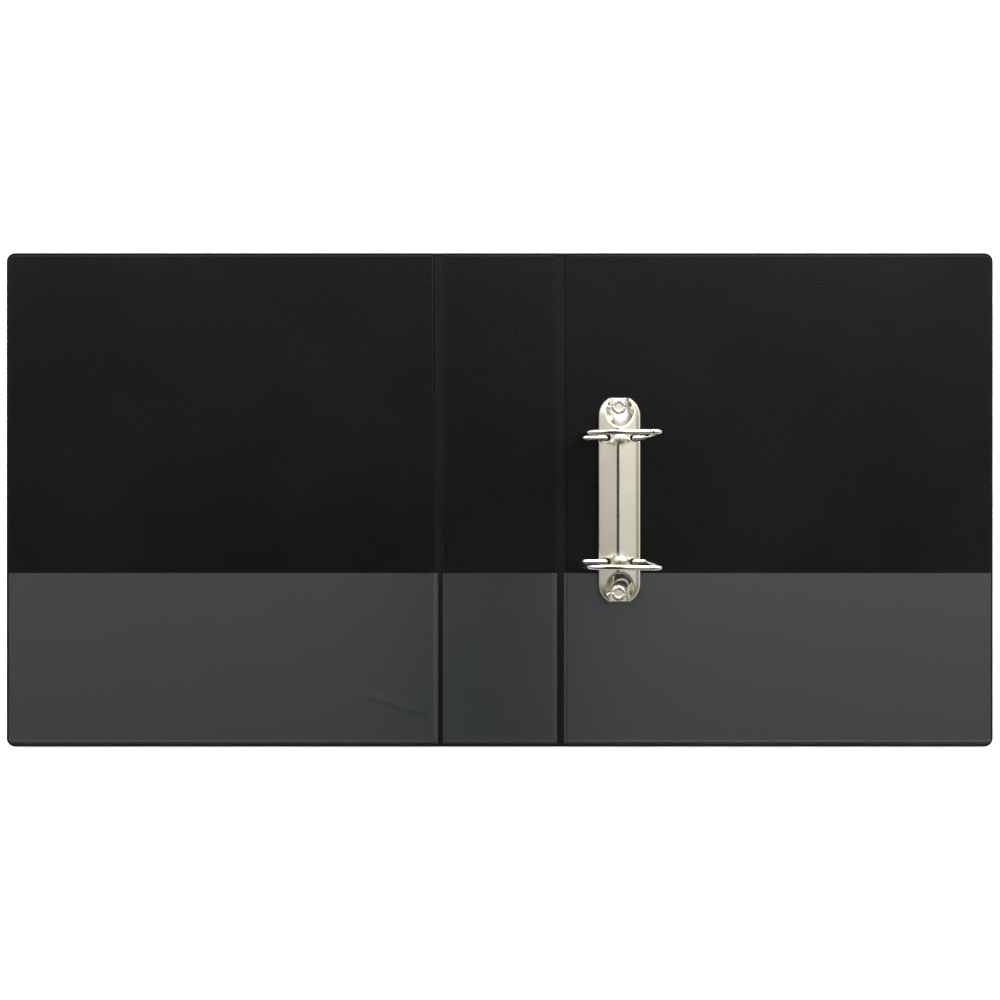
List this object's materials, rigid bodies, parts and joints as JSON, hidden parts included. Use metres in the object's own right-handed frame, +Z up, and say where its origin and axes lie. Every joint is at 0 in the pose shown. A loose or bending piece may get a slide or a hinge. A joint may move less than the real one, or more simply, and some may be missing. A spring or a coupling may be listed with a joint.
{
  "type": "two-ring binder",
  "caption": "A4 ring binder lying open: black PVC covers and spine with welded hinges, lower pockets, and a plated D-ring mechanism on the back cover.",
  "frame": {"origin": "on the table under the middle of the spine, at the bottom centre of the open binder's box", "axes": "+X from the front cover over the spine to the back cover, +Y along the spine to its top end, +Z up out of the inside face"},
  "size_m": [0.6474, 0.324, 0.061],
  "materials": {
    "black_pvc": "fine leather grain, satin",
    "greyboard": "plain grey board",
    "pocket_film": "translucent grained film",
    "nickel_plate": "nickel plate, pressed sheet",
    "plated_steel": "dull plated sheet",
    "nickel_wire": "polished nickel-plated wire",
    "rivet_nickel": "nickel-plated rolled rivet"
  },
  "bodies": {
    "back_cover": {"back_outer_skin": "black_pvc", "back_board": "greyboard", "back_inner_skin": "black_pvc", "back_pocket_film": "pocket_film", "mechanism_cover_plate": "nickel_plate", "upper_rivet": "rivet_nickel", "lower_rivet": "rivet_nickel"},
    "spine": {"spine_outer_skin": "black_pvc", "spine_board": "greyboard", "spine_inner_skin": "black_pvc", "spine_pocket_film": "pocket_film", "front_hinge_weld": "black_pvc", "back_hinge_weld": "black_pvc"},
    "front_cover": {"front_outer_skin": "black_pvc", "front_board": "greyboard", "front_inner_skin": "black_pvc", "front_pocket_film": "pocket_film"},
    "curved_rings": {"left_hinge_plate": "plated_steel", "upper_curved_ring_half": "nickel_wire", "lower_curved_ring_half": "nickel_wire"},
    "straight_rings": {"right_hinge_plate": "plated_steel", "upper_straight_ring_half": "nickel_wire", "lower_straight_ring_half": "nickel_wire"}
  },
  "joints": [
    {"name": "back_hinge", "type": "hinge", "parent": "back_cover", "child": "spine", "pos_m": [0.0398, 0, 0.00135], "axis": [0, 1, 0], "range_deg": [0, 90], "deforming": ["back_hinge_weld"]},
    {"name": "front_hinge", "type": "hinge", "parent": "spine", "child": "front_cover", "pos_m": [-0.0398, 0, 0.00135], "axis": [0, 1, 0], "range_deg": [0, 90], "deforming": ["front_hinge_weld"]},
    {"name": "curved_ring_tilt", "type": "hinge", "parent": "back_cover", "child": "curved_rings", "pos_m": [0.0658, 0, 0.0056], "axis": [0, -1, 0], "range_deg": [0, 12]},
    {"name": "straight_ring_tilt", "type": "hinge", "parent": "back_cover", "child": "straight_rings", "pos_m": [0.0898, 0, 0.0056], "axis": [0, 1, 0], "range_deg": [0, 12]}
  ],
  "couplings": [
    {"joint": "straight_ring_tilt", "follows": "curved_ring_tilt", "ratio": 1}
  ]
}
